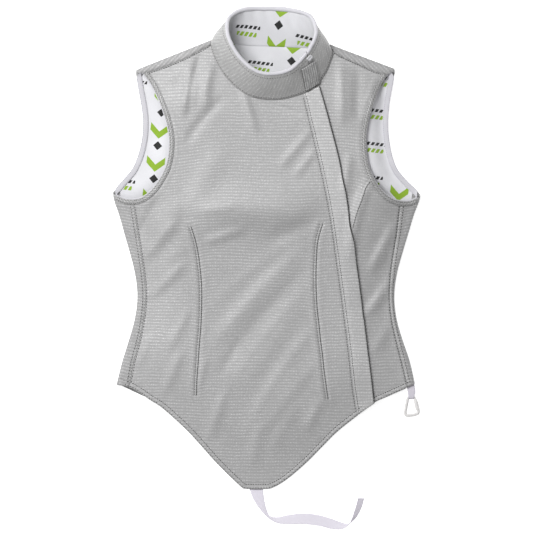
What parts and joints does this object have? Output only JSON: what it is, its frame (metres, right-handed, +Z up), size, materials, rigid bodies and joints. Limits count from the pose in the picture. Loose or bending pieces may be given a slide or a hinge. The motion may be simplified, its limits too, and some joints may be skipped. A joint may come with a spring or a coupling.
{
  "type": "foil lame",
  "caption": "sleeveless metallic fencing vest laid flat on its back, with a standing collar, an offset covered zip, a pointed front, an elastic crotch strap and a small snap hook",
  "frame": {"origin": "middle of the footprint, on the table the garment lies on, at the underside of the back panel", "axes": "+Y runs from the point of the front to the neck, +X to the wearer's left, which is the right of the laid garment, +Z up out of the front"},
  "size_m": [0.4609, 0.784, 0.062],
  "materials": {
    "lame": "ribbed grey metallic lame with a satin sheen",
    "lining": "smooth white lining with a faint lavender cast",
    "elastic": "white woven elastic",
    "plastic": "translucent white moulded plastic"
  },
  "bodies": {
    "garment": {"back_panel": "lame", "front_right_panel": "lame", "front_left_panel": "lame", "placket_flap": "lame", "collar_outer": "lame", "collar_tab": "lame", "left_armhole_band": "lame", "right_armhole_band": "lame", "back_lining": "lining", "collar_lining": "lining", "collar_binding": "lining", "left_armhole_facing": "lining", "right_armhole_facing": "lining", "zip_tape": "elastic", "crotch_strap": "elastic", "hook_loop": "elastic", "zip_coil": "plastic", "zip_slider": "plastic"},
    "hook": {"snap_hook": "plastic"}
  },
  "joints": [
    {"name": "hook_swing", "type": "hinge", "parent": "garment", "child": "hook", "pos_m": [0.217, -0.1934, 0.0031], "axis": [-1, 0, 0], "range_deg": [0, 120]}
  ]
}
